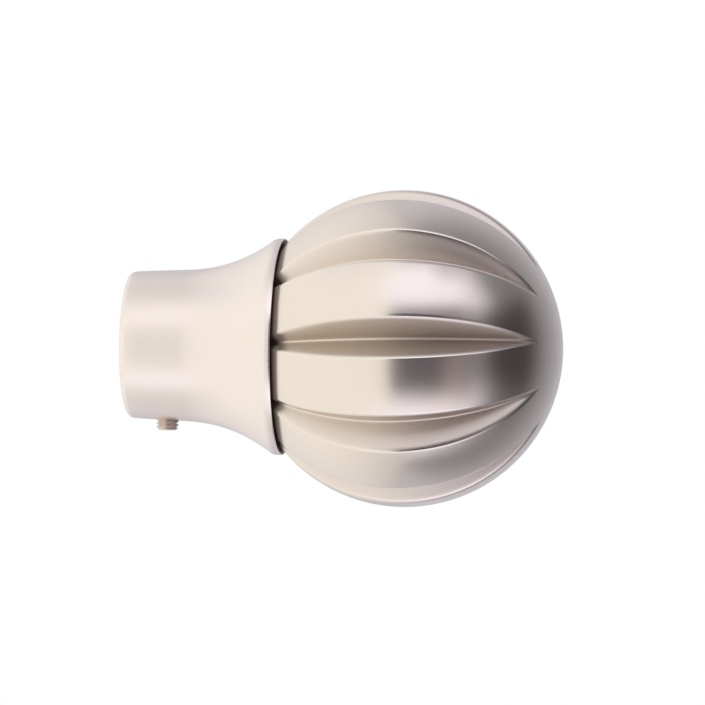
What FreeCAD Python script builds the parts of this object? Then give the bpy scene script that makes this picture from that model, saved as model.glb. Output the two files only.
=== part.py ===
"""Curtain pole finial: a fluted ball held in a flared neck that slides over the end of a pole.

Millimetres. X runs along the pole, from the socket towards the tip of the ball.
Z is up and the grub screw points down. The origin is the centre of the socket's floor,
where the end face of the pole stops.
"""
import FreeCAD, Part
import math
import os

Vector = FreeCAD.Vector
X_AXIS = Vector(1, 0, 0)
Y_AXIS = Vector(0, 1, 0)
Z_AXIS = Vector(0, 0, 1)

# Pole socket
pole_diameter = 28.0
pole_clearance = 0.2          # radial room around the pole
socket_depth = 20.3           # from the mouth to the floor that stops the pole
socket_lead_in = 0.4          # chamfer inside the mouth

# Outside of the neck
mouth_wall = 2.1              # metal around the pole at the mouth
mouth_edge_round = 1.2
draft_angle = 2.3             # slight taper of the sleeve, in degrees
draft_length = 13.4           # from the mouth to where the flare begins
flare_radius = 33.0           # hollow curve from the sleeve out to the lip
rim_diameter = 48.0
lip_thickness = 0.7           # metal left at the rim between the outside and the cup
lip_edge_chamfer = 0.2

# Ball
ball_diameter = 70.0
ball_gap = 0.6                # room between the ball and the cup of the neck
seat_diameter = 30.0          # flat on the ball that bears on the neck

# Flutes
flute_count = 10
flute_depth = 5.5             # at the middle of the ball
flute_angle = 80.0            # angle between the two walls, in degrees
flute_end = 31.0              # where a flute runs out, in degrees from the tip
flute_phase = 7.0             # turn of the first flute above the front, in degrees
flute_run_out = 6.0           # the cutting ring goes on this far past both ends, in degrees

# Fixing screw through the web of the neck into the ball
web_thickness = 3.0
fixing_diameter = 6.0
fixing_length = 18.0          # under the head
fixing_head_diameter = 12.0
fixing_head_height = 4.6
fixing_head_edge = 2.4        # straight height of the head below its slope
fixing_head_top = 7.6         # diameter of the flat on top of the head
fixing_end_chamfer = 0.8
fixing_hole_clearance = 0.3   # radial, in the web
fixing_tap_clearance = 0.05   # radial, in the tapped hole of the ball
tap_extra_depth = 3.0         # drilled beyond the end of the screw
drill_point = 118.0           # angle at the bottom of a drilled hole, in degrees
head_recess_diameter = 17.0
head_room = 0.3               # the head stays this far below the socket floor

# Cross recess of the fixing screw
cross_width = 1.7
cross_span = 6.4
cross_depth = 2.6
cross_taper = 22.0            # slope of the recess ends, in degrees

# Spring washer under the head
washer_diameter = 11.6
washer_bore_clearance = 0.1   # radial, around the fixing screw
washer_thickness = 1.6
washer_slit = 0.7
washer_slit_angle = 30.0      # lean of the slit, in degrees

# Grub screw that grips the pole
grub_diameter = 5.0
grub_length = 4.0
grub_from_mouth = 8.5
grub_proud = 2.2              # stands out of the neck as supplied
grub_clearance = 0.05         # radial, in its tapped hole
grub_end_chamfer = 0.5
grub_point_diameter = 2.8
grub_point_depth = 0.6        # cup in the point
grub_socket_width = 2.5       # across the flats of the hexagon
grub_socket_depth = 1.9

# Sizes that follow from those above
socket_radius = pole_diameter / 2 + pole_clearance
mouth_x = -socket_depth
mouth_radius = socket_radius + mouth_wall
ball_radius = ball_diameter / 2
cup_radius = ball_radius + ball_gap
rim_radius = rim_diameter / 2
rim_inner_radius = rim_radius - lip_thickness
head_recess_depth = washer_thickness + fixing_head_height + head_room
seat_x = head_recess_depth + web_thickness
ball_x = seat_x + math.sqrt(ball_radius ** 2 - (seat_diameter / 2) ** 2)
rim_x = ball_x - math.sqrt(cup_radius ** 2 - rim_inner_radius ** 2)
head_x = head_recess_depth - washer_thickness
grub_x = mouth_x + grub_from_mouth


def line(end):
    """Straight step of an outline."""
    return ("line", [end])


def arc(through, end):
    """Circular step of an outline."""
    return ("arc", [through, end])


def outline_face(start, steps):
    """Closed face in the XZ plane from (along the axis, out from the axis) points."""
    edges = []
    here = Vector(start[0], 0, start[1])
    for kind, points in steps + [line(start)]:
        there = [Vector(along, 0, out) for along, out in points]
        if there[-1].distanceToPoint(here) < 1e-7:
            continue
        if kind == "arc":
            edges.append(Part.Arc(here, there[0], there[1]).toShape())
        else:
            edges.append(Part.LineSegment(here, there[0]).toShape())
        here = there[-1]
    return Part.Face(Part.Wire(edges))


def turned(start, steps):
    """Solid of revolution about the X axis."""
    return outline_face(start, steps).revolve(Vector(0, 0, 0), X_AXIS, 360)


def on_circle(centre_x, radius, degrees):
    """Point on a circle about the X axis's point centre_x, measured from the +X direction."""
    angle = math.radians(degrees)
    return (centre_x + radius * math.cos(angle), radius * math.sin(angle))


def flute_cutter():
    """Part of a ring with a V-shaped inner edge; that edge draws the root of the top flute."""
    root_radius = ball_radius - flute_depth
    end_height = ball_radius * math.sin(math.radians(flute_end))
    end_along = ball_radius * math.cos(math.radians(flute_end))
    offset = (ball_radius ** 2 - root_radius ** 2) / (2 * (root_radius - end_height))
    centre = Vector(ball_x, 0, -offset)
    reach = 2 * flute_depth
    side = reach * math.tan(math.radians(flute_angle / 2))
    corners = [
        Vector(ball_x, 0, root_radius),
        Vector(ball_x, side, root_radius + reach),
        Vector(ball_x, -side, root_radius + reach),
        Vector(ball_x, 0, root_radius),
    ]
    section = Part.Face(Part.makePolygon(corners))
    half_span = math.degrees(math.atan2(end_along, end_height + offset)) + flute_run_out
    section.rotate(centre, Y_AXIS, -half_span)
    return section.revolve(centre, Y_AXIS, 2 * half_span)


def fluted_ball():
    """Ball with a flat seat, a blind tapped hole for the fixing screw and its ring of flutes."""
    seat_radius = seat_diameter / 2
    tap_radius = fixing_diameter / 2 + fixing_tap_clearance
    tap_end = head_x + fixing_length + tap_extra_depth
    point_end = tap_end + tap_radius / math.tan(math.radians(drill_point / 2))
    ball = turned(
        (ball_x + ball_radius, 0),
        [
            arc(on_circle(ball_x, ball_radius, 80), (seat_x, seat_radius)),
            line((seat_x, tap_radius)),
            line((tap_end, tap_radius)),
            line((point_end, 0)),
        ],
    )
    cutters = []
    for index in range(flute_count):
        cutter = flute_cutter()
        turn = 90 - flute_phase + index * 360.0 / flute_count
        cutter.rotate(Vector(0, 0, 0), X_AXIS, turn)
        cutters.append(cutter)
    return ball.cut(cutters)


def flared_neck():
    """Neck with the pole socket, the recess for the screw head, the web and the cup of the ball."""
    draft = math.radians(draft_angle)
    corner = math.radians(90 - draft_angle)
    round_x = mouth_x + mouth_edge_round
    round_out = mouth_radius + math.tan(draft) * mouth_edge_round - mouth_edge_round / math.cos(draft)
    flare_x = mouth_x + draft_length
    flare_out = mouth_radius + math.tan(draft) * draft_length
    centre_x = flare_x - flare_radius * math.sin(draft)
    centre_out = flare_out + flare_radius * math.cos(draft)
    flare_end = math.acos((centre_out - rim_radius) / flare_radius)
    flare_middle = (draft + flare_end) / 2
    recess_radius = head_recess_diameter / 2
    hole_radius = fixing_diameter / 2 + fixing_hole_clearance
    cup_floor_radius = math.sqrt(cup_radius ** 2 - (ball_x - seat_x) ** 2)
    cup_middle_radius = (rim_inner_radius + cup_floor_radius) / 2
    cup_middle_x = ball_x - math.sqrt(cup_radius ** 2 - cup_middle_radius ** 2)
    neck = turned(
        (mouth_x, socket_radius + socket_lead_in),
        [
            line((mouth_x, round_out)),
            arc(
                (
                    round_x - mouth_edge_round * math.cos(corner / 2),
                    round_out + mouth_edge_round * math.sin(corner / 2),
                ),
                (
                    round_x - mouth_edge_round * math.sin(draft),
                    round_out + mouth_edge_round * math.cos(draft),
                ),
            ),
            line((flare_x, flare_out)),
            arc(
                (
                    centre_x + flare_radius * math.sin(flare_middle),
                    centre_out - flare_radius * math.cos(flare_middle),
                ),
                (centre_x + flare_radius * math.sin(flare_end), rim_radius),
            ),
            line((rim_x - lip_edge_chamfer, rim_radius)),
            line((rim_x, rim_radius - lip_edge_chamfer)),
            line((rim_x, rim_inner_radius)),
            arc((cup_middle_x, cup_middle_radius), (seat_x, cup_floor_radius)),
            line((seat_x, hole_radius)),
            line((head_recess_depth, hole_radius)),
            line((head_recess_depth, recess_radius)),
            line((0, recess_radius)),
            line((0, socket_radius)),
            line((mouth_x + socket_lead_in, socket_radius)),
        ],
    )
    grub_hole = Part.makeCylinder(
        grub_diameter / 2 + grub_clearance, rim_radius, Vector(grub_x, 0, 0), -Z_AXIS
    )
    return neck.cut(grub_hole)


def upright(shape, along):
    """Turn a shape made about the X axis so that its +X end points down, at one place on the axis."""
    shape.rotate(Vector(0, 0, 0), Y_AXIS, 90)
    shape.translate(Vector(along, 0, 0))
    return shape


def grub_screw():
    """Set screw with a cup point towards the pole and a hexagon socket outside."""
    radius = grub_diameter / 2
    outer_end = mouth_radius + math.tan(math.radians(draft_angle)) * grub_from_mouth + grub_proud
    inner_end = outer_end - grub_length
    point_radius = grub_point_diameter / 2
    screw = turned(
        (inner_end + grub_point_depth, 0),
        [
            line((inner_end, point_radius)),
            line((inner_end + (radius - point_radius) / 2, radius)),
            line((outer_end - grub_end_chamfer, radius)),
            line((outer_end, radius - grub_end_chamfer)),
            line((outer_end, 0)),
        ],
    )
    across_corners = grub_socket_width / math.sqrt(3)
    corners = []
    for index in range(7):
        angle = math.radians(60 * index)
        side = across_corners * math.cos(angle)
        corners.append(Vector(outer_end, side, across_corners * math.sin(angle)))
    socket = Part.Face(Part.makePolygon(corners)).extrude(-X_AXIS * grub_socket_depth)
    return upright(screw.cut(socket), grub_x)


def cross_recess():
    """Cross-shaped pocket with leaning ends, cut into the head of the fixing screw."""
    top = head_x - fixing_head_height
    lean = cross_depth * math.tan(math.radians(cross_taper))
    pocket = None
    for turn in (0, 90):
        half = cross_span / 2
        corners = [
            Vector(top, 0, half),
            Vector(top + cross_depth, 0, half - lean),
            Vector(top + cross_depth, 0, lean - half),
            Vector(top, 0, -half),
            Vector(top, 0, half),
        ]
        arm = Part.Face(Part.makePolygon(corners)).extrude(Y_AXIS * cross_width)
        arm.translate(Y_AXIS * (-cross_width / 2))
        arm.rotate(Vector(0, 0, 0), X_AXIS, turn)
        pocket = arm if pocket is None else pocket.fuse(arm)
    return pocket


def fixing_screw():
    """Pan head screw that draws the ball into its seat."""
    radius = fixing_diameter / 2
    head_radius = fixing_head_diameter / 2
    head_top = head_x - fixing_head_height
    end = head_x + fixing_length
    screw = turned(
        (head_top, 0),
        [
            line((head_top, fixing_head_top / 2)),
            line((head_x - fixing_head_edge, head_radius)),
            line((head_x, head_radius)),
            line((head_x, radius)),
            line((end - fixing_end_chamfer, radius)),
            line((end, radius - fixing_end_chamfer)),
            line((end, 0)),
        ],
    )
    return screw.cut(cross_recess())


def spring_washer():
    """Split ring under the head of the fixing screw."""
    outer = washer_diameter / 2
    inner = fixing_diameter / 2 + washer_bore_clearance
    ring = turned(
        (head_x, inner),
        [
            line((head_x, outer)),
            line((head_recess_depth, outer)),
            line((head_recess_depth, inner)),
        ],
    )
    slit_run = 3 * washer_thickness
    slit_corner = Vector(-slit_run / 2, -washer_slit / 2, 0)
    slit = Part.makeBox(slit_run, washer_slit, washer_diameter, slit_corner)
    slit.rotate(Vector(0, 0, 0), Z_AXIS, washer_slit_angle)
    slit.translate(Vector(head_x + washer_thickness / 2, 0, 0))
    return ring.cut(slit)


os.makedirs("parts", exist_ok=True)
pieces = {
    "fluted_ball": fluted_ball(),
    "flared_neck": flared_neck(),
    "grub_screw": grub_screw(),
    "fixing_screw": fixing_screw(),
    "spring_washer": spring_washer(),
}
for name, shape in pieces.items():
    shape.exportStep("parts/" + name + ".step")
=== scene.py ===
"""Looks of the curtain pole finial: a fluted ball on a flared neck, with its screws."""
import math

import bmesh
import bpy
from mathutils import Matrix, Vector


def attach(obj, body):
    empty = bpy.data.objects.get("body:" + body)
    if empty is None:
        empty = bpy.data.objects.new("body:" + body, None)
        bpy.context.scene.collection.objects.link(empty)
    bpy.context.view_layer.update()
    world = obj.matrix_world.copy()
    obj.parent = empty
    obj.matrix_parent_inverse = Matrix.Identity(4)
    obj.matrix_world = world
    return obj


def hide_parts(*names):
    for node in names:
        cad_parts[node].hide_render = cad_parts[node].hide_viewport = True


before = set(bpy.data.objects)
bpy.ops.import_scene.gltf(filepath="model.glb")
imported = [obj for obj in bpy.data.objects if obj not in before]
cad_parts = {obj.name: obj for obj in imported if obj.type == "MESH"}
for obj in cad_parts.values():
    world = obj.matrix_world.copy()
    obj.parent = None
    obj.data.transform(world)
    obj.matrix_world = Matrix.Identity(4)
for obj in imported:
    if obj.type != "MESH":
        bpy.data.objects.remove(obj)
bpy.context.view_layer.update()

# Sizes are in millimetres and angles in degrees where nothing else is said. X runs along the pole,
# from the floor of its socket towards the tip of the ball.

MM = 0.001
MERGE = 1e-6  # metres
NEAR = 0.01
SHARP = 35

# Ball, with the flat seat that bears on the neck's web and the tapped hole for the fixing screw
BALL_X = 41.123
BALL_R = 35.0
SEAT_X = 9.5
SEAT_R = 15.0
TAP_R = 3.05
TAP_END = 25.9
TAP_POINT = 27.7

# Flutes of V section, which run from FLUTE_END off the ball's tip to as far off its other end
FLUTES = 10
FLUTE_DEPTH = 5.5
FLUTE_HALF_ANGLE = 40
FLUTE_END = 31
FLUTE_PHASE = 7
EDGE_SOFT = 0.8
ROOT_SOFT = 0.4

# The ball sits a little askew in its round cup; past LEAN_END off its tip this fades out
BALL_LEAN = 1.5
LEAN_END = 141

# Neck: pole socket, sleeve that draws in towards its mouth, flare, lip, cup, and web with a recess
SOCKET_R = 14.2
LEAD_IN = 0.4
MOUTH_X = -20.3
MOUTH_R = 16.3
MOUTH_ROUND = 1.2
CROWN = 0.12
CROWN_LENGTH = 4.5
CROWN_STEPS = (0, 1.5, 2, 2.6, 3.2, 3.8, CROWN_LENGTH)
DRAFT = 2.3
DRAFT_RISE = math.tan(math.radians(DRAFT))
DRAFT_LENGTH = 13.4
FLARE_R = 33.0
RIM_R = 24.0
RIM_INNER_R = 23.3
LIP_LAND = 0.4
LIP_BACK_ROUND = 0.85
LIP_ROUND = 0.12
LIP_CHAMFER = 0.45
CUP_R = 35.6
RECESS_R = 8.5
RECESS_DEPTH = 6.5
WEB_HOLE_R = 3.3
NECK_STEPS = 192

# Grub screw: M5 with a cup point and a hexagon socket, in a hole with a broken edge
GRUB_X = -11.8
GRUB_R = 2.5
GRUB_OUT = 18.841
GRUB_LENGTH = 4.0
GRUB_PITCH = 0.8
GRUB_POINT_R = 1.9
GRUB_FACE_R = 1.95
CUP_POINT_R = 1.4
CUP_POINT_DEPTH = 0.6
HEXAGON = 2.5
HEXAGON_DEPTH = 1.9
HEXAGON_EDGE = 0.12
HEXAGON_DRILL_R = 1.0
HEXAGON_DRILL_DEPTH = 0.4
GRUB_HOLE_R = 2.55
GRUB_HOLE_EDGE = 0.3
GRUB_SHARP = 30

# Fixing screw: M6 with a pan head and a cross recess that narrows towards its floor
HEAD_X = 4.9
HEAD_R = 6.0
HEAD_HEIGHT = 4.6
HEAD_EDGE = 0.2
HEAD_DOME = 2.2
FIXING_R = 3.0
FIXING_END = 22.9
FIXING_POINT_R = 2.2
FIXING_PITCH = 1.0
CROSS_SPAN = 6.4
CROSS_WIDTH = 1.7
CROSS_DEPTH = 2.6
SPAN_TAPER = 0.45
WIDTH_TAPER = 0.8

# Threads, in shares of the pitch; the root's flat and the flank are counted from root to crest
THREAD_DEPTH = 0.6
THREAD_ROOT = 0.15
THREAD_FLANK = 0.7
THREAD_ROWS = 20

# Wear: width of the rubbed strip along an edge; and dust with painted shade in the joint, a dull
# brown that darkens the ball towards the joint, which reaches further along the flutes and covers
# the cup and the lip's end, but for a clean strip at its edge
EDGE_RUB = 0.8
DUST_AND_SHADE_END = 16.4
DUST_AND_SHADE_FADE = 2.0
FLUTE_DUST_AND_SHADE = 1.3
CUP_DUST_AND_SHADE = 0.8
CUP_SKIN = 0.05
LIP_CLEAN = 0.15

# Painted shade in the flutes: darker deeper in a flute, and most on the flutes at half height,
# with the root line left mostly unshaded. Height is told by the cosine of a flute's turn; the rest
# are shares of its depth or of the tone.
LEAST_PAINTED_SHADE = 0.15
HALF_HEIGHT_START = 0.85
HALF_HEIGHT_RUN = 0.13
WALL_START = 0.02
WALL_RUN = 0.1
ROOT_START = 0.95
ROOT_RUN = 0.04
WALL_TONE = 0.6
ROOT_UNSHADED = 0.8


# Shaping

def clamp(value):
    """The value, held between 0 and 1."""
    return min(max(value, 0), 1)


def turned(outline, steps, closed=True):
    """Mesh turned about the X axis from (along, out) points."""
    bm = bmesh.new()
    verts = [bm.verts.new((along * MM, -out * MM, 0)) for along, out in outline]
    for a, b in zip(verts, verts[1:] + verts[:1] if closed else verts[1:]):
        bm.edges.new((a, b))
    bmesh.ops.spin(
        bm, geom=bm.verts[:] + bm.edges[:], cent=(0, 0, 0), axis=(1, 0, 0), dvec=(0, 0, 0),
        angle=2 * math.pi, steps=steps, use_merge=True,
    )
    bmesh.ops.remove_doubles(bm, verts=bm.verts, dist=MERGE)
    return bm


def arc_points(centre, radius, start, end, count):
    """Points on an arc, with its angles from the +X direction."""
    angles = [math.radians(start + (end - start) * i / count) for i in range(count + 1)]
    return [(centre[0] + radius * math.cos(a), centre[1] + radius * math.sin(a)) for a in angles]


def soften(bm, along, out, size, segments):
    """Rounds the corner that a turned mesh has at one point of its outline."""
    corner = {
        v for v in bm.verts
        if abs(v.co.x / MM - along) < NEAR and abs(math.hypot(v.co.y, v.co.z) / MM - out) < NEAR
    }
    bmesh.ops.bevel(
        bm, geom=[e for e in bm.edges if corner.issuperset(e.verts)], offset=size * MM,
        offset_type="OFFSET", affect="EDGES", segments=segments, profile=0.5, material=-1,
    )


def grow_end(bm, end_x, rings):
    """Carries the open end of a turned mesh on through rings of (along, out at an angle)."""
    rim = [e for e in bm.edges if e.is_boundary and abs(e.verts[0].co.x / MM - end_x) < NEAR]
    for along, out_at in rings:
        grown = bmesh.ops.extrude_edge_only(bm, edges=rim)["geom"]
        rim = [g for g in grown if isinstance(g, bmesh.types.BMEdge)]
        for v in {v for e in rim for v in e.verts}:
            angle = math.atan2(v.co.z, v.co.y)
            out = out_at(angle) if callable(out_at) else out_at
            v.co = Vector((along, out * math.cos(angle), out * math.sin(angle))) * MM
    bmesh.ops.remove_doubles(bm, verts=bm.verts, dist=MERGE)


def point_down(bm):
    """Turns a mesh made along the X axis to point down at the grub screw's place."""
    downwards = Matrix.Rotation(math.pi / 2, 3, "Y")
    bmesh.ops.rotate(bm, verts=bm.verts, cent=(0, 0, 0), matrix=downwards)
    bmesh.ops.translate(bm, verts=bm.verts, vec=(GRUB_X * MM, 0, 0))


def piece(name, bm, body, replaced, finish, sharp=SHARP):
    """Turns a mesh's faces outwards and makes it a piece that rides on a body."""
    bmesh.ops.remove_doubles(bm, verts=bm.verts, dist=MERGE)
    bmesh.ops.recalc_face_normals(bm, faces=bm.faces)
    for face in bm.faces:
        face.smooth = True
    mesh = bpy.data.meshes.new(name)
    bm.to_mesh(mesh)
    bm.free()
    mesh.set_sharp_from_angle(angle=math.radians(sharp))
    mesh.materials.append(finish)
    obj = bpy.data.objects.new(name, mesh)
    bpy.context.scene.collection.objects.link(obj)
    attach(obj, body)
    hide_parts(replaced)
    return obj


def cut_out(obj, cutter):
    """Cuts a closed mesh out of a piece."""
    bmesh.ops.recalc_face_normals(cutter, faces=cutter.faces)
    mesh = bpy.data.meshes.new("cutter")
    cutter.to_mesh(mesh)
    cutter.free()
    tool = bpy.data.objects.new("cutter", mesh)
    bpy.context.scene.collection.objects.link(tool)
    cut = obj.modifiers.new("cut", "BOOLEAN")
    cut.operation = "DIFFERENCE"
    cut.solver = "EXACT"
    cut.object = tool
    whole = obj.data
    cut_obj = obj.evaluated_get(bpy.context.evaluated_depsgraph_get())
    obj.data = bpy.data.meshes.new_from_object(cut_obj)
    obj.modifiers.clear()
    joined = bmesh.new()
    joined.from_mesh(obj.data)
    bmesh.ops.remove_doubles(joined, verts=joined.verts, dist=MERGE)
    joined.to_mesh(obj.data)
    joined.free()
    obj.data.set_sharp_from_angle(angle=math.radians(SHARP))
    bpy.data.objects.remove(tool)
    bpy.data.meshes.remove(mesh)
    bpy.data.meshes.remove(whole)


# The ball: each V flute is what a ring cuts whose bottom lies nearest the centre half way along

ROOT_R = BALL_R - FLUTE_DEPTH
END_OUT = BALL_R * math.sin(math.radians(FLUTE_END))
RING_OFFSET = (BALL_R ** 2 - ROOT_R ** 2) / (2 * (ROOT_R - END_OUT))
RING_R = ROOT_R + RING_OFFSET
WALL_SLOPE = 1 / math.tan(math.radians(FLUTE_HALF_ANGLE))
HALF_GORE = math.pi / FLUTES
SEAT_ANGLE = 180 - math.degrees(math.asin(SEAT_R / BALL_R))

# The flute's wall is looked for between these radii
WALL_LOWEST = ROOT_R - 2
WALL_HIGHEST = BALL_R + 12
HALVINGS = 36

# Columns of half a gore: shares of the flute's half width, steps past its edge, shares of the land
FLUTE_SHARES = (
    0, 0.025, 0.05, 0.075, 0.11, 0.25, 0.42, 0.6, 0.75, 0.85, 0.9, 0.935, 0.968, 1,
)
EDGE_STEPS = (0.15, 0.32, 0.52, 0.78)
LAND_SHARES = (0.2, 0.45, 0.72, 1)
COLUMNS = len(FLUTE_SHARES) + len(EDGE_STEPS) + len(LAND_SHARES) - 1

# Rows from the tip to the seat, and what keeps the columns apart where the flutes run out
TIP_ROWS, FLUTE_ROWS, SEAT_ROWS = 22, 104, 6
ROWS = TIP_ROWS + FLUTE_ROWS + SEAT_ROWS
ROW_CROWDING = 0.7
LEAST_OUT = 1
LEAST_STEP_OUT = 12
LEAST_HALF_WIDTH = 0.25
LEAST_DEPTH = 0.8


def above_wall(radius, tip_angle, turn, soft):
    """How far a point lies above a flute's wall; turn is its angle round the axis off the root."""
    out = radius * math.sin(tip_angle)
    aside = abs(out * math.sin(turn))
    if aside < soft:
        aside = (aside * aside / soft + soft) / 2
    from_ring = math.hypot(radius * math.cos(tip_angle), out * math.cos(turn) + RING_OFFSET)
    return from_ring - RING_R - aside * WALL_SLOPE


def halve(inside, low, high):
    """The value between low and high where inside() turns false."""
    for _ in range(HALVINGS):
        middle = (low + high) / 2
        low, high = (middle, high) if inside(middle) else (low, middle)
    return low


def fluted_radius(tip_angle, turn):
    """Distance of the ball's surface from its centre, with softened flute edges and roots."""
    wall = halve(
        lambda r: above_wall(r, tip_angle, turn, ROOT_SOFT) < 0, WALL_LOWEST, WALL_HIGHEST,
    )
    depth = BALL_R - wall
    if abs(depth) < EDGE_SOFT:
        depth = (depth + EDGE_SOFT) ** 2 / (4 * EDGE_SOFT)
    return BALL_R - max(depth, 0)


def row_angle(row):
    """Angle of a row off the ball's tip; rows stand closer together near the ends of the flutes."""
    if row <= TIP_ROWS:
        return FLUTE_END * row / TIP_ROWS
    if row >= TIP_ROWS + FLUTE_ROWS:
        return SEAT_ANGLE - (SEAT_ANGLE - 180 + FLUTE_END) * (ROWS - row) / SEAT_ROWS
    share = (row - TIP_ROWS) / FLUTE_ROWS
    share -= ROW_CROWDING * math.sin(2 * math.pi * share) / (2 * math.pi)
    return FLUTE_END + (180 - 2 * FLUTE_END) * share


def gore_row(tip_angle):
    """(turn, radius, rub) of each column of half a gore at one angle off the tip."""
    out = max(BALL_R * math.sin(tip_angle), LEAST_OUT)
    edge = halve(lambda turn: above_wall(BALL_R, tip_angle, turn, 0) > 0, 0, HALF_GORE)
    rubbed = min(1, edge * out)
    edge = math.hypot(edge, LEAST_HALF_WIDTH / out)
    turns = [edge * share for share in FLUTE_SHARES]
    turns += [edge + step / max(out, LEAST_STEP_OUT) for step in EDGE_STEPS]
    turns += [turns[-1] + (HALF_GORE - turns[-1]) * share for share in LAND_SHARES]
    rubs = [rubbed * max(0, 1 - abs(turn - edge) * out / EDGE_RUB) for turn in turns]
    return [(turn, fluted_radius(tip_angle, turn), rub) for turn, rub in zip(turns, rubs)]


def flute_shade_share(depth_share, flute):
    """Share of painted shade at a share of the depth of the flute at that turn, in radians."""
    half_height = clamp((abs(math.cos(flute)) - HALF_HEIGHT_START) / HALF_HEIGHT_RUN)
    level = LEAST_PAINTED_SHADE + (1 - LEAST_PAINTED_SHADE) * half_height
    wall = clamp((depth_share - WALL_START) / WALL_RUN)
    wall *= WALL_TONE + (1 - WALL_TONE) * depth_share
    root = clamp((depth_share - ROOT_START) / ROOT_RUN)
    return level * wall * (1 - ROOT_UNSHADED * root)


def leaned(place):
    """Where a point lies on the ball as it sits, a little askew; the seat under the lip stays."""
    centre = Vector((BALL_X * MM, 0, 0))
    from_tip = math.degrees((place - centre).angle(Vector((1, 0, 0))))
    share = clamp((SEAT_ANGLE - from_tip) / (SEAT_ANGLE - LEAN_END))
    lean = Matrix.Rotation(-math.radians(BALL_LEAN) * share, 3, "Y")
    return centre + lean @ (place - centre)


def fluted_ball(finish):
    """One gore with its flute, spun into a ring of ten, and the flat seat with its tapped hole."""
    bm = bmesh.new()
    bmesh.ops.create_grid(bm, x_segments=2 * COLUMNS, y_segments=ROWS, size=1)
    angles = [math.radians(row_angle(row)) for row in range(ROWS + 1)]
    gore = [gore_row(angle) for angle in angles]
    phase, gore_turn = math.radians(FLUTE_PHASE), 2 * HALF_GORE
    flute_painted_shade = bm.verts.layers.float.new("flute_painted_shade")
    edge_rub = bm.verts.layers.float.new("edge_rub")
    joint_dust_and_shade = bm.verts.layers.float.new("joint_dust_and_shade")
    for v in bm.verts:
        column = round((v.co.x + 1) * COLUMNS) - COLUMNS
        row = round((v.co.y + 1) * ROWS / 2)
        turn, radius, v[edge_rub] = gore[row][abs(column)]
        root_radius = gore[row][0][1]
        v[flute_painted_shade] = (BALL_R - radius) / max(BALL_R - root_radius, LEAST_DEPTH)
        turn = phase + math.copysign(turn, column)
        out = radius * math.sin(angles[row])
        along = BALL_X + radius * math.cos(angles[row])
        v.co = Vector((along, -out * math.cos(turn), out * math.sin(turn))) * MM
    bmesh.ops.spin(
        bm, geom=bm.verts[:] + bm.edges[:] + bm.faces[:], cent=(0, 0, 0), axis=(1, 0, 0),
        dvec=(0, 0, 0), angle=2 * math.pi - gore_turn, steps=FLUTES - 1, use_duplicate=True,
    )
    bmesh.ops.remove_doubles(bm, verts=bm.verts, dist=MERGE)
    for v in bm.verts:
        depth_share = v[flute_painted_shade]
        turn = math.atan2(v.co.z, -v.co.y)
        flute = phase + gore_turn * round((turn - phase) / gore_turn)
        # Painted shade in the flutes: darker deeper in them and most on the flutes at half height
        v[flute_painted_shade] = flute_shade_share(depth_share, flute)
        v.co = leaned(v.co)
        # Dust with painted shade, darker towards the lip and reaching further along the flutes
        dust_and_shade_end = DUST_AND_SHADE_END + FLUTE_DUST_AND_SHADE * depth_share
        v[joint_dust_and_shade] = clamp((dust_and_shade_end - v.co.x / MM) / DUST_AND_SHADE_FADE) ** 2
    seat_edge_x = BALL_X + BALL_R * math.cos(angles[-1])
    grow_end(bm, seat_edge_x, [(SEAT_X, TAP_R), (TAP_END, TAP_R), (TAP_POINT, 0)])
    return piece("fluted_ball_satin", bm, "finial", "fluted_ball", finish)


# The neck

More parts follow.
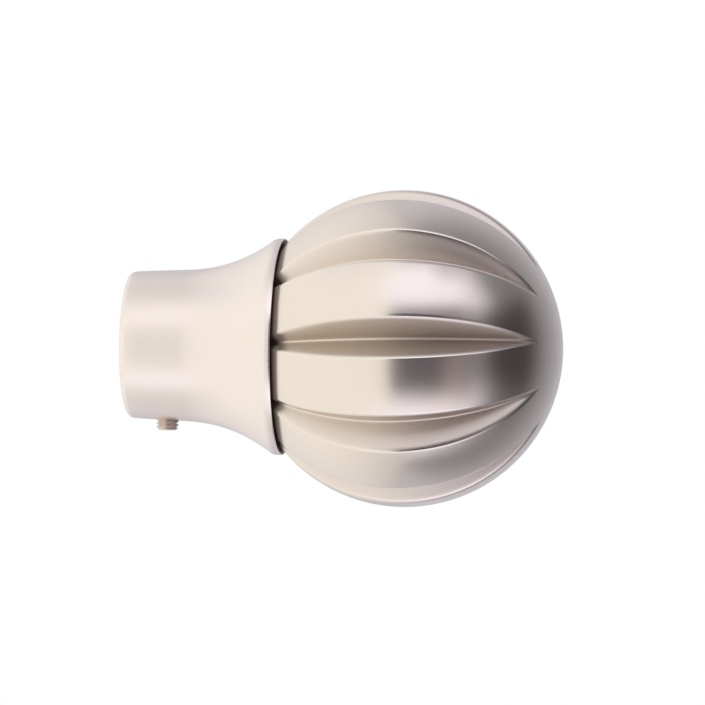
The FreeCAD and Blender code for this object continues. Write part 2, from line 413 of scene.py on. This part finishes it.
def flared_neck(finish):
    """Sleeve, hollow flare and thin lip, with the cup that holds the ball and the pole's socket."""
    flare_x = MOUTH_X + DRAFT_LENGTH
    flare_out = MOUTH_R + DRAFT_LENGTH * DRAFT_RISE
    centre = (
        flare_x - FLARE_R * math.sin(math.radians(DRAFT)),
        flare_out + FLARE_R * math.cos(math.radians(DRAFT)),
    )
    flare_end = math.degrees(math.acos((centre[1] - RIM_R) / FLARE_R))
    flare_end_x = centre[0] + FLARE_R * math.sin(math.radians(flare_end))
    rim_angle = 180 - math.degrees(math.asin(RIM_INNER_R / CUP_R))
    floor_angle = 180 - math.degrees(math.acos((BALL_X - SEAT_X) / CUP_R))
    rim_x = BALL_X + CUP_R * math.cos(math.radians(rim_angle))
    outline = [(MOUTH_X, SOCKET_R)]
    for step in CROWN_STEPS:
        drawn_in = CROWN * (1 - step / CROWN_LENGTH) ** 2
        outline.append((MOUTH_X + step, MOUTH_R + step * DRAFT_RISE - drawn_in))
    outline += arc_points(centre, FLARE_R, DRAFT - 90, flare_end - 90, 20)
    outline += [(rim_x - LIP_LAND, RIM_R), (rim_x, RIM_R)]
    outline += arc_points((BALL_X, 0), CUP_R, rim_angle, floor_angle, 16)
    outline += [(SEAT_X, WEB_HOLE_R), (RECESS_DEPTH, WEB_HOLE_R), (RECESS_DEPTH, RECESS_R)]
    outline += [(0, RECESS_R), (0, SOCKET_R), (MOUTH_X + 1.5 * LEAD_IN, SOCKET_R)]
    bm = turned(outline, NECK_STEPS)
    soften(bm, MOUTH_X, MOUTH_R - CROWN, MOUTH_ROUND, 6)
    soften(bm, MOUTH_X, SOCKET_R, LEAD_IN, 2)
    soften(bm, flare_end_x, RIM_R, LIP_BACK_ROUND, 5)
    soften(bm, rim_x, RIM_R, LIP_ROUND, 3)
    soften(bm, rim_x, RIM_INNER_R, LIP_CHAMFER, 1)
    edge_rub = bm.verts.layers.float.new("edge_rub")
    joint_dust_and_shade = bm.verts.layers.float.new("joint_dust_and_shade")
    for v in bm.verts:
        along, out = v.co.x / MM, math.hypot(v.co.y, v.co.z) / MM
        from_mouth = math.hypot(along - MOUTH_X, out - MOUTH_R)
        from_rim = math.hypot(along - rim_x, out - RIM_R)
        v[edge_rub] = max(0, 1 - min(from_mouth, from_rim) / (2 * EDGE_RUB))
        # The cup and the lip's end take dust with painted shade, a dull brown in the dark gap
        on_cup = math.hypot(along - BALL_X, out) < CUP_R + CUP_SKIN
        on_lip_end = along > rim_x - CUP_SKIN and out < RIM_R - LIP_CLEAN
        v[joint_dust_and_shade] = CUP_DUST_AND_SHADE if on_cup or on_lip_end else 0
    obj = piece("flared_neck_satin", bm, "finial", "flared_neck", finish)
    sleeve_out = MOUTH_R + (GRUB_X - MOUTH_X) * DRAFT_RISE
    drill_out = sleeve_out + 1
    drill = turned([
        (0, 0), (0, GRUB_HOLE_R), (sleeve_out - GRUB_HOLE_EDGE, GRUB_HOLE_R),
        (drill_out, GRUB_HOLE_R + GRUB_HOLE_EDGE + 1), (drill_out, 0),
    ], 64, closed=False)
    point_down(drill)
    cut_out(obj, drill)
    return obj


# The screws

def threaded_rod(start, end, radius, pitch, start_out, end_out, steps):
    """Rod along the X axis with a right-hand thread and sloped ends, left open at both ends."""
    rows = round((end - start) / pitch * THREAD_ROWS)
    outline = [(start + (end - start) * i / rows, radius) for i in range(rows + 1)]
    bm = turned(outline, steps, closed=False)
    for v in bm.verts:
        along = v.co.x / MM
        angle = math.atan2(v.co.z, v.co.y)
        from_root = abs((along / pitch - angle / (2 * math.pi)) % 1 - 0.5) * 2
        rise = clamp((from_root - THREAD_ROOT) / THREAD_FLANK)
        out = radius - THREAD_DEPTH * pitch * (1 - rise)
        out = min(out, start_out + along - start, end_out + end - along)
        v.co = Vector((along, out * math.cos(angle), out * math.sin(angle))) * MM
    return bm


def hexagon(width):
    """Outline of a hexagon of that width across its flats."""
    return lambda angle: width / 2 / math.cos(angle % (math.pi / 3) - math.pi / 6)


def grub_screw(finish):
    """Set screw with a thread, a cup point towards the pole and a hexagon socket outside."""
    inner = GRUB_OUT - GRUB_LENGTH
    floor = GRUB_OUT - HEXAGON_DEPTH
    bm = threaded_rod(inner, GRUB_OUT, GRUB_R, GRUB_PITCH, GRUB_POINT_R, GRUB_FACE_R, 72)
    grow_end(bm, inner, [(inner, CUP_POINT_R), (inner + CUP_POINT_DEPTH, 0)])
    grow_end(bm, GRUB_OUT, [
        (GRUB_OUT, hexagon(HEXAGON + 2 * HEXAGON_EDGE)),
        (GRUB_OUT - HEXAGON_EDGE, hexagon(HEXAGON)),
        (floor, hexagon(HEXAGON)),
        (floor, HEXAGON_DRILL_R),
        (floor - HEXAGON_DRILL_DEPTH, 0),
    ])
    point_down(bm)
    return piece(
        "grub_screw_threaded", bm, "grub_screw", "grub_screw", finish,
        sharp=GRUB_SHARP,
    )


def fixing_screw(finish):
    """Pan head screw with a cross recess, at the bottom of the socket."""
    top = HEAD_X - HEAD_HEIGHT
    bm = threaded_rod(HEAD_X, FIXING_END, FIXING_R, FIXING_PITCH, FIXING_R, FIXING_POINT_R, 64)
    grow_end(bm, FIXING_END, [(FIXING_END, 0)])
    rings = [(HEAD_X, HEAD_R - HEAD_EDGE), (HEAD_X - HEAD_EDGE, HEAD_R)]
    rings += arc_points((top + HEAD_DOME, HEAD_R - HEAD_DOME), HEAD_DOME, 90, 180, 8)
    grow_end(bm, HEAD_X, rings + [(top, 0)])
    obj = piece("fixing_screw_pan_head", bm, "finial", "fixing_screw", finish)
    upright = (CROSS_WIDTH, CROSS_SPAN), (WIDTH_TAPER, SPAN_TAPER)
    level = (CROSS_SPAN, CROSS_WIDTH), (SPAN_TAPER, WIDTH_TAPER)
    for size, taper in (upright, level):
        bar = bmesh.new()
        bmesh.ops.create_cube(bar, size=MM)
        bmesh.ops.scale(bar, verts=bar.verts, vec=(2 * CROSS_DEPTH, *size))
        bmesh.ops.scale(bar, verts=[v for v in bar.verts if v.co.x > 0], vec=(1, *taper))
        bmesh.ops.translate(bar, verts=bar.verts, vec=(top * MM, 0, 0))
        cut_out(obj, bar)
    return obj


# Finishes

WHITE = (1, 1, 1, 1)
# Dust with painted shade in the joint: a dull brown that darkens the metal there
DUST_AND_SHADE_COLOUR = "#54403A"
DUST_COVER = 0.8
DUST_DULLNESS = 0.3
RUB_SHINE = 0.1
MARK_DULLNESS = 0.03
MARK_STRENGTH = 0.03
MARK_DEPTH = 0.004

# Sockets of a colour mix
SHARE, FIRST, SECOND, MIXED = 0, 6, 7, 2


def linear(colour):
    """Linear colour from an sRGB hex value."""
    parts = [int(colour[i:i + 2], 16) / 255 for i in (1, 3, 5)]
    return [c / 12.92 if c <= 0.04045 else ((c + 0.055) / 1.055) ** 2.4 for c in parts] + [1]


def add(tree, kind, inputs, out=0, **settings):
    """Adds a node with its settings, fills or links its inputs, and gives one of its outputs."""
    node = tree.nodes.new(kind)
    for name, value in settings.items():
        setattr(node, name, value)
    for name, value in inputs.items():
        if isinstance(value, bpy.types.NodeSocket):
            tree.links.new(value, node.inputs[name])
        else:
            node.inputs[name].default_value = value
    return node.outputs[out] if node.outputs else node


def empty_tree(owner):
    """Empty node tree of a material or world."""
    owner.use_nodes = True
    owner.node_tree.nodes.clear()
    return owner.node_tree


def plated_metal(name, colours, roughness, mark_mm, mark_run, cloud_mm, worn_and_shaded=False, flutes=None):
    """Plated metal with the fine marks of its finishing and a slightly clouded tone.

    The marks are mark_mm wide and drawn out along X, Y and Z by mark_run. A finish that is worn has
    edges rubbed bright, and dust with painted shade in its joint: a dull brown that darkens it
    towards the joint. flutes gives the colour and added roughness of the painted shade in the
    flutes.
    """
    finish = bpy.data.materials.new(name)
    tree = empty_tree(finish)
    plate, shade = [linear(colour) for colour in colours]
    place = add(tree, "ShaderNodeTexCoord", {}, "Object")
    run = add(tree, "ShaderNodeMapping", {
        "Vector": place, "Scale": [1 / (mark_mm * MM * s) for s in mark_run],
    })
    marks = add(tree, "ShaderNodeTexNoise", {
        "Vector": run, "Scale": 1, "Detail": 3, "Roughness": 0.6,
    })
    cloud = add(tree, "ShaderNodeTexNoise", {
        "Vector": place, "Scale": 1 / (cloud_mm * MM), "Detail": 2,
    })
    colour = add(tree, "ShaderNodeMix", {
        SHARE: cloud, FIRST: plate, SECOND: shade,
    }, MIXED, data_type="RGBA")
    dull = add(tree, "ShaderNodeMapRange", {
        "Value": marks, "From Min": 0.3, "From Max": 0.7,
        "To Min": roughness - MARK_DULLNESS, "To Max": roughness + MARK_DULLNESS,
    })
    metallic = 1
    # Painted shade in the flutes: their colour darkens towards the given colour, and they are
    # rougher
    if flutes:
        flute_colour, flute_dullness = flutes
        tone = add(tree, "ShaderNodeAttribute", {}, "Fac", attribute_name="flute_painted_shade")
        colour = add(tree, "ShaderNodeMix", {
            SHARE: tone, FIRST: colour, SECOND: linear(flute_colour),
        }, MIXED, data_type="RGBA")
        wall = add(tree, "ShaderNodeMapRange", {"Value": tone, "From Max": 0.1})
        dull = add(tree, "ShaderNodeMath", {
            0: wall, 1: flute_dullness, 2: dull,
        }, operation="MULTIPLY_ADD")
    if worn_and_shaded:
        rub = add(tree, "ShaderNodeAttribute", {}, "Fac", attribute_name="edge_rub")
        dull = add(tree, "ShaderNodeMath", {
            0: rub, 1: -RUB_SHINE, 2: dull,
        }, operation="MULTIPLY_ADD")
        # Dust with painted shade in the joint: a dull, less metallic brown
        dust_and_shade = add(tree, "ShaderNodeAttribute", {}, "Fac", attribute_name="joint_dust_and_shade")
        colour = add(tree, "ShaderNodeMix", {
            SHARE: dust_and_shade, FIRST: colour, SECOND: linear(DUST_AND_SHADE_COLOUR),
        }, MIXED, data_type="RGBA")
        metallic = add(tree, "ShaderNodeMath", {
            0: dust_and_shade, 1: -DUST_COVER, 2: 1,
        }, operation="MULTIPLY_ADD")
        dull = add(tree, "ShaderNodeMath", {
            0: dust_and_shade, 1: DUST_DULLNESS, 2: dull,
        }, operation="MULTIPLY_ADD")
    bump = add(tree, "ShaderNodeBump", {
        "Height": marks, "Strength": MARK_STRENGTH, "Distance": MARK_DEPTH * MM,
    })
    metal = add(tree, "ShaderNodeBsdfPrincipled", {
        "Base Color": colour, "Metallic": metallic, "Roughness": dull, "Normal": bump,
    })
    add(tree, "ShaderNodeOutputMaterial", {"Surface": metal})
    return finish


# Satin nickel plate on a cast ball, polished along its length: a warm, blurred mirror with faint
# streaks, bright along the flutes' edges and rougher in the flutes, where the wheel reaches less.
# The flutes are browner with painted shade, most those at half height, and the ball takes dust with
# painted shade towards the lip.
# The wheel's marks are a few hundredths of a millimetre wide, so they are drawn coarser, to show.
ball_nickel = plated_metal(
    "satin_nickel_ball", ("#F1E5DB", "#EEE2D7"), 0.24, 0.25, (4, 1, 1), 9,
    worn_and_shaded=True, flutes=("#CEC1B4", 0.17),
)

# Satin nickel plate on a turned neck: paler and softer than the ball, with bands of light along it
# and faint rings round it. The rings, left by abrasive cloth, are drawn coarser too.
# Its cup and the lip's end take dust with painted shade.
neck_nickel = plated_metal(
    "satin_nickel_neck", ("#F9EDE6", "#F6EAE3"), 0.31, 0.2, (1, 10, 10), 12, worn_and_shaded=True,
)

# Nickel plate on rolled steel: a dull, warm grey, uneven over the thread. The grain of the plate is
# drawn coarser than it is.
grub_nickel = plated_metal(
    "nickel_plated_steel", ("#F0E4DC", "#E2D4CB"), 0.42, 0.15, (1, 1, 1), 1.5,
)

# Zinc plate on steel: cooler and darker than the nickel around it, with a fine grain that is drawn
# coarser than it is.
zinc_steel = plated_metal(
    "zinc_plated_steel", ("#C9C8C4", "#B6B5B2"), 0.35, 0.15, (1, 1, 1), 2,
)

fluted_ball(ball_nickel)
flared_neck(neck_nickel)
grub_screw(grub_nickel)
fixing_screw(zinc_steel)
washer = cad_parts["spring_washer"]
washer.data.materials.clear()
washer.data.materials.append(zinc_steel)


# Camera, where the photograph was taken from: its turn, rise and roll, and its aim off the ball

VIEW_TURN = math.radians(6.66)
VIEW_RISE = math.radians(3)
VIEW_ROLL = math.radians(0.5)
VIEW_DISTANCE = 990.5
AIM_RIGHT = -11.53
AIM_UP = -0.95
FOCAL_LENGTH = 228.8
SENSOR_WIDTH = 36

back = Vector((
    math.sin(VIEW_TURN) * math.cos(VIEW_RISE),
    -math.cos(VIEW_TURN) * math.cos(VIEW_RISE),
    math.sin(VIEW_RISE),
))
right = Vector((math.cos(VIEW_TURN), math.sin(VIEW_TURN), 0))
up = back.cross(right)
lens = bpy.data.cameras.new("camera")
lens.sensor_width = SENSOR_WIDTH
lens.lens = FOCAL_LENGTH
lens.clip_start = 0.01
camera = bpy.data.objects.new("camera", lens)
bpy.context.scene.collection.objects.link(camera)
aim = Vector((BALL_X, 0, 0)) + right * AIM_RIGHT + up * AIM_UP
facing = Matrix((right, up, back)).transposed() @ Matrix.Rotation(VIEW_ROLL, 3, "Z")
camera.matrix_world = Matrix.Translation((aim + back * VIEW_DISTANCE) * MM) @ facing.to_4x4()
bpy.context.scene.camera = camera


# Studio: the white backdrop is what metal mirrors too, with soft cards hung in it. A card is given
# by its left and right sides and its lower and upper sides, each with a softness, in degrees right
# of and above the photograph's view, and by its brightness and tint. A side at 400 is out of reach.

BACKDROP = "#FFFFF9"
SOFT_LIGHT = 0.6
CARDS = (
    ("right_half", (-8, 14, 400, 1), (-400, 1, 400, 1), 1.08, "#F3F3FF"),
    ("back_left", (-400, 1, -147, 45), (-400, 1, 400, 1), 0.83, "#F8F8FF"),
    ("back_edge", (-400, 1, -172, 14), (-400, 1, 400, 1), 0.58, "#F5F6FF"),
    ("back_right", (68, 16, 400, 1), (-400, 1, 400, 1), 0.24, "#F3F4FF"),
    ("back_middle", (144, 45, 400, 1), (-400, 1, 400, 1), 0.74, "#F3F4FF"),
    ("left_high", (-120, 20, -66, 30), (46, 16, 72, 16), 0.95, "#F6F8FF"),
    ("zenith", (-172, 25, 400, 1), (88, 45, 400, 1), 0.34, "#F4F5FF"),
    ("nadir", (-400, 1, 400, 1), (-400, 1, -87, 45), 0.38, "#F6F6FF"),
    ("upper_card", (-20, 20, 50, 9), (31, 4, 64, 10), 1.29, "#F3F3FF"),
    ("high_shade", (-10, 14, 80, 20), (63, 6, 80, 10), 0.58, "#F6F3FF"),
    ("high_shade_right", (34, 12, 80, 20), (49, 6, 76, 12), 0.62, "#F6F3FF"),
    ("lower_card", (-30, 45, 63, 45), (-69, 10, -42, 4), 1.30, "#F0F0FF"),
    ("dark_opening", (-12, 4, 49, 15), (-34, 10, 29.5, 4), 0.135, "#F3EEFF"),
    ("brown_strip", (44, 25, 40, 8), (-42, 4, 10, 45), 1.55, "#FFEAE0"),
    ("dark_side", (44, 31, 110, 15), (-26, 16, 24, 6), 0.055, "#FFF4FF"),
)

studio = bpy.data.worlds.new("studio")
bpy.context.scene.world = studio
tree = empty_tree(studio)
direction = add(tree, "ShaderNodeTexCoord", {}, "Generated")
sideways, upwards, forwards = [
    add(tree, "ShaderNodeVectorMath", {0: direction, 1: axis}, "Value", operation="DOT_PRODUCT")
    for axis in (right, up, back)
]
turn_angle = add(tree, "ShaderNodeMath", {0: sideways, 1: forwards}, operation="ARCTAN2")
rise_angle = add(tree, "ShaderNodeMath", {0: upwards}, operation="ARCSINE")
tone = linear(BACKDROP)
for name, turn_sides, rise_sides, brightness, tint in CARDS:
    share = 1.0
    for angle, (low, low_soft, high, high_soft) in (
        (turn_angle, turn_sides), (rise_angle, rise_sides),
    ):
        for side, soft, start, end in ((low, low_soft, 0, 1), (high, high_soft, 1, 0)):
            step = add(tree, "ShaderNodeMapRange", {
                "Value": angle,
                "From Min": math.radians(side - soft), "From Max": math.radians(side + soft),
                "To Min": start, "To Max": end,
            }, interpolation_type="SMOOTHSTEP")
            share = add(tree, "ShaderNodeMath", {0: share, 1: step}, operation="MULTIPLY")
    card = [brightness * c for c in linear(tint)[:3]] + [1]
    tone = add(tree, "ShaderNodeMix", {
        SHARE: share, FIRST: tone, SECOND: card,
    }, MIXED, data_type="RGBA", label=name)
camera_ray = add(tree, "ShaderNodeLightPath", {}, "Is Camera Ray")
diffuse_ray = add(tree, "ShaderNodeLightPath", {}, "Is Diffuse Ray")
tone = add(tree, "ShaderNodeMix", {
    SHARE: camera_ray, FIRST: tone, SECOND: WHITE,
}, MIXED, data_type="RGBA")
backdrop = add(tree, "ShaderNodeBackground", {"Color": tone, "Strength": 1})
soft_light = add(tree, "ShaderNodeBackground", {"Color": WHITE, "Strength": SOFT_LIGHT})
light = add(tree, "ShaderNodeMixShader", {0: diffuse_ray, 1: backdrop, 2: soft_light})
add(tree, "ShaderNodeOutputWorld", {"Surface": light})


# Floor and lamp, in metres. The floor lies far enough below to stay out of the photograph's view,
# keeps the object's shadow and fades into the backdrop.

FLOOR_Z = -0.15
FLOOR_R = 0.45
FADE_START = 0.5 * FLOOR_R
FIBRE = 1.2 * MM
FIBRE_DEPTH = 0.05 * MM
FIBRE_STRENGTH = 0.05
LAMP_PLACE = (BALL_X * MM - 0.1, -0.1, 0.9)
LAMP_SIZE = 0.6
LAMP_WATTS = 6

bm = bmesh.new()
bmesh.ops.create_circle(bm, cap_ends=True, segments=128, radius=FLOOR_R)
bmesh.ops.translate(bm, verts=bm.verts, vec=(BALL_X * MM, 0, FLOOR_Z))
mesh = bpy.data.meshes.new("floor")
bm.to_mesh(mesh)
bm.free()
floor = bpy.data.objects.new("floor", mesh)
bpy.context.scene.collection.objects.link(floor)
floor.visible_glossy = False

# Matt studio paper: an even, soft white, with a fibre that is drawn coarser than it is
paper = bpy.data.materials.new("matt_paper")
tree = empty_tree(paper)
place = add(tree, "ShaderNodeTexCoord", {}, "Object")
from_middle = add(tree, "ShaderNodeMapping", {
    "Vector": place, "Location": (-BALL_X * MM, 0, -FLOOR_Z),
})
reach = add(tree, "ShaderNodeVectorMath", {0: from_middle}, "Value", operation="LENGTH")
fade = add(tree, "ShaderNodeMapRange", {
    "Value": reach, "From Min": FADE_START, "From Max": FLOOR_R,
}, interpolation_type="SMOOTHSTEP")
fibre = add(tree, "ShaderNodeTexNoise", {"Vector": place, "Scale": 1 / FIBRE, "Detail": 2})
grain = add(tree, "ShaderNodeBump", {
    "Height": fibre, "Strength": FIBRE_STRENGTH, "Distance": FIBRE_DEPTH,
})
sheet = add(tree, "ShaderNodeBsdfPrincipled", {
    "Base Color": linear("#F6F5F3"), "Roughness": 0.9, "Normal": grain,
})
glow = add(tree, "ShaderNodeEmission", {"Color": WHITE, "Strength": 1})
surface = add(tree, "ShaderNodeMixShader", {0: fade, 1: sheet, 2: glow})
add(tree, "ShaderNodeOutputMaterial", {"Surface": surface})
mesh.materials.append(paper)

lamp = bpy.data.lights.new("overhead_softbox", "AREA")
lamp.shape = "DISK"
lamp.size = LAMP_SIZE
lamp.energy = LAMP_WATTS
softbox = bpy.data.objects.new("overhead_softbox", lamp)
softbox.location = LAMP_PLACE
softbox.visible_glossy = False
softbox.visible_camera = False
bpy.context.scene.collection.objects.link(softbox)

bpy.context.scene.view_settings.view_transform = "Standard"
